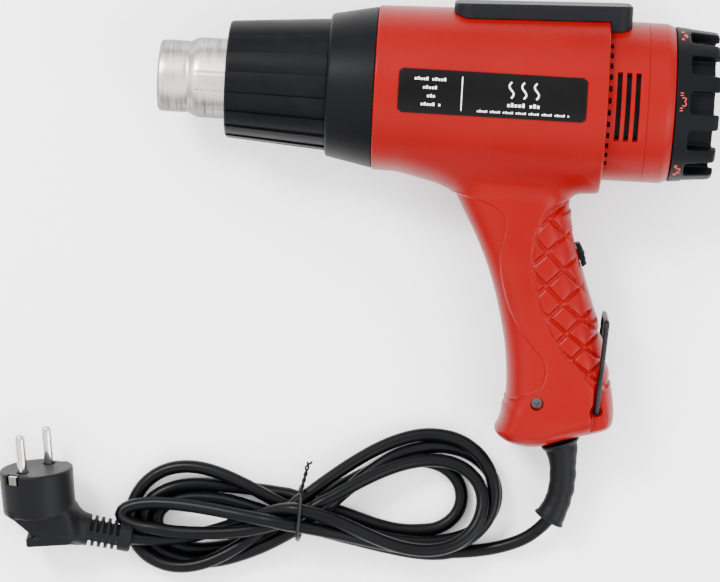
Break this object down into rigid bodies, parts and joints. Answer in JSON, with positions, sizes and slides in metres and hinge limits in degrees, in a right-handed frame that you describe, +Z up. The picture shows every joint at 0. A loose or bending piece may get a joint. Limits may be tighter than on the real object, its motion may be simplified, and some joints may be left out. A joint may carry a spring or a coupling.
{
  "type": "heat gun",
  "caption": "Red pistol-grip hot air gun on its side, with ribbed heat guard, steel nozzle, dial, hook and a tied mains lead with an angled plug.",
  "frame": {"origin": "on the bench under the middle of the gun's box, without its lead", "axes": "+Z up off the bench, +X towards the dial, +Y towards the gun's top; the gun lies on its right side with its barrel 1.5 degrees nose down along X"},
  "size_m": [0.34, 0.295, 0.086],
  "materials": {
    "red_plastic": "satin moulded red with a fine grain",
    "black_plastic": "matt moulded black",
    "soft_black": "matt black, slightly soft",
    "label_film": "smooth black film",
    "nozzle_steel": "drawn stainless sheet, faintly heat tinted",
    "black_wire": "black coated wire",
    "black_screw": "blackened steel",
    "black_rubber": "matt moulded rubber",
    "cord_sheath": "satin black flexible sheath",
    "inner_plastic": "plain moulding",
    "zinc": "bright zinc plate",
    "mica": "laminated mica",
    "heater_wire": "oxidised resistance wire",
    "ceramic_white": "fired white",
    "ferrite": "dark ferrite",
    "copper_core": "varnished laminations and copper",
    "bronze": "sintered",
    "board_green": "solder mask",
    "nickel": "nickel plate"
  },
  "bodies": {
    "gun": {"housing_left": "red_plastic", "housing_right": "red_plastic", "rear_cap": "red_plastic", "intake_screen": "black_plastic", "front_collar": "black_plastic", "barrel_guard": "black_plastic", "top_pad": "soft_black", "label_plate": "label_film", "nozzle_tube": "nozzle_steel", "power_switch": "inner_plastic", "housing_screws": "black_screw", "strain_relief": "black_rubber", "cord_clamp": "inner_plastic", "clamp_screws": "zinc", "heat_shield": "zinc", "mica_tube": "mica", "mica_cross": "mica", "heater_coil": "heater_wire", "front_disc": "mica", "rear_disc": "mica", "thermal_cutout": "ceramic_white", "air_duct": "inner_plastic", "motor_mount": "inner_plastic", "motor_can": "zinc", "motor_magnets": "ferrite", "motor_bearings": "bronze", "brush_holder": "inner_plastic", "potentiometer": "inner_plastic", "pot_nut": "zinc", "control_board": "board_green", "board_parts": "inner_plastic", "terminal_block": "ceramic_white", "cord_lead": "cord_sheath", "cord_hank": "cord_sheath", "cord_tie": "black_wire", "cord_tail": "cord_sheath", "plug_body": "black_rubber", "plug_pins": "nickel", "earth_contacts": "nickel"},
    "dial": {"temperature_dial": "black_plastic", "pot_shaft": "zinc"},
    "rotor": {"motor_shaft": "zinc", "rotor_core": "copper_core", "fan_impeller": "inner_plastic"},
    "hook": {"hanger_hook": "black_wire"},
    "slider": {"switch_slider": "black_plastic"}
  },
  "joints": [
    {"name": "dial_turn", "type": "hinge", "parent": "gun", "child": "dial", "pos_m": [0.12451, 0.081, 0.04414], "axis": [0.9996, 0, 0.0269], "range_deg": [-60, 210]},
    {"name": "switch_slide", "type": "slide", "parent": "gun", "child": "slider", "axis": [-0.3422, 0.9316, 0.1228], "range_m": [0, 0.006]},
    {"name": "hook_swing", "type": "hinge", "parent": "gun", "child": "hook", "pos_m": [0.08739, -0.06871, 0.02193], "axis": [0.0266, 0.1402, -0.9898], "range_deg": [0, 145]},
    {"name": "fan_spin", "type": "hinge", "parent": "gun", "child": "rotor", "pos_m": [-0.00045, 0.081, 0.04078], "axis": [0.9996, 0, 0.0269], "continuous": true}
  ]
}
